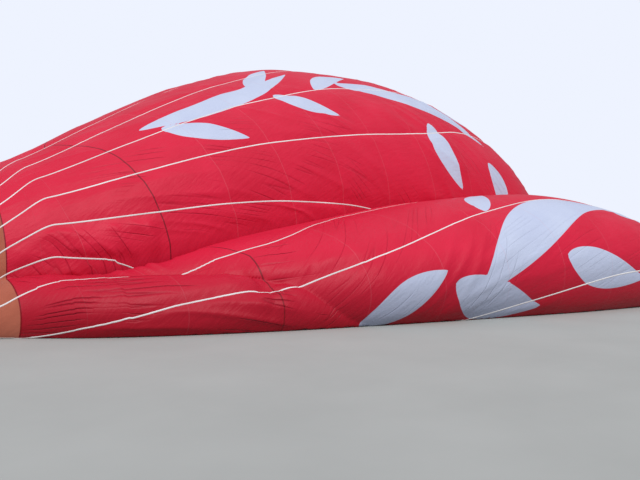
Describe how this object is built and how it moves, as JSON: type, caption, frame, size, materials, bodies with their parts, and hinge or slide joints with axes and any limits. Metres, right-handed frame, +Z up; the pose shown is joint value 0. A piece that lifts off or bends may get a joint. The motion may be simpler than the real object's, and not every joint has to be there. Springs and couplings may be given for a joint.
{
  "type": "hot air balloon, part inflated on the ground",
  "caption": "Hot air balloon lying on the ground in cold inflation: 24-gore envelope, mouth band, crown valve, flying wires, double burner, basket.",
  "frame": {"origin": "centre of the bounding box, on the ground", "axes": "+X from the basket through the mouth to the crown, +Z up"},
  "size_m": [24.7754, 17.2648, 6.6523],
  "materials": {
    "envelope_cloth": "coated ripstop nylon, satin",
    "heat_cloth": "heat-proof aramid cloth, matt",
    "webbing": "woven polyester load tape",
    "wicker": "woven cane, varnished",
    "leather": "stitched hide, worn",
    "plywood": "sealed plywood",
    "hardwood": "oiled ash, scuffed",
    "padded_cover": "padded cordura sleeve",
    "frame_steel": "brushed stainless tube",
    "burner_steel": "stainless, heat tinted",
    "cylinder_shell": "satin aluminium",
    "wire_steel": "stranded stainless cable"
  },
  "bodies": {
    "balloon_body": {"mouth_band": "heat_cloth", "gore_01": "envelope_cloth", "gore_02": "envelope_cloth", "gore_03": "envelope_cloth", "gore_04": "envelope_cloth", "gore_05": "envelope_cloth", "gore_06": "envelope_cloth", "gore_07": "envelope_cloth", "gore_08": "envelope_cloth", "gore_09": "envelope_cloth", "gore_10": "envelope_cloth", "gore_11": "envelope_cloth", "gore_12": "envelope_cloth", "gore_13": "envelope_cloth", "gore_14": "envelope_cloth", "gore_15": "envelope_cloth", "gore_16": "envelope_cloth", "gore_17": "envelope_cloth", "gore_18": "envelope_cloth", "gore_19": "envelope_cloth", "gore_20": "envelope_cloth", "gore_21": "envelope_cloth", "gore_22": "envelope_cloth", "gore_23": "envelope_cloth", "gore_24": "envelope_cloth", "load_tapes": "webbing", "basket_walls": "wicker", "basket_floor": "plywood", "basket_base_trim": "leather", "basket_rim": "leather", "basket_runner_1": "hardwood", "basket_runner_2": "hardwood", "basket_runner_3": "hardwood", "upright_lower_near": "padded_cover", "upright_lower_far": "padded_cover", "upright_upper_near": "padded_cover", "upright_upper_far": "padded_cover", "load_frame": "frame_steel", "fuel_cylinder_1": "cylinder_shell", "fuel_cylinder_2": "cylinder_shell", "fuel_cylinder_3": "cylinder_shell", "fuel_cylinder_4": "cylinder_shell", "flying_wires_lower_near": "wire_steel", "flying_wires_lower_far": "wire_steel", "flying_wires_upper_near": "wire_steel", "flying_wires_upper_far": "wire_steel"},
    "gimbal": {"gimbal_ring": "frame_steel"},
    "burners": {"burner_block": "burner_steel", "burner_can_1": "burner_steel", "burner_can_2": "burner_steel", "burner_coil_1": "burner_steel", "burner_coil_2": "burner_steel"},
    "valve": {"parachute_valve": "envelope_cloth"}
  },
  "joints": [
    {"name": "gimbal_tilt", "type": "hinge", "parent": "balloon_body", "child": "gimbal", "pos_m": [-10.21235, -0.07335, 0.656], "axis": [0, 1, 0], "range_deg": [-15, 15]},
    {"name": "burner_swing", "type": "hinge", "parent": "gimbal", "child": "burners", "pos_m": [-10.21235, -0.07335, 0.656], "axis": [0, 0, 1], "range_deg": [-15, 15]},
    {"name": "valve_pull", "type": "slide", "parent": "balloon_body", "child": "valve", "axis": [-1, 0, 0], "range_m": [0, 1.2]}
  ]
}
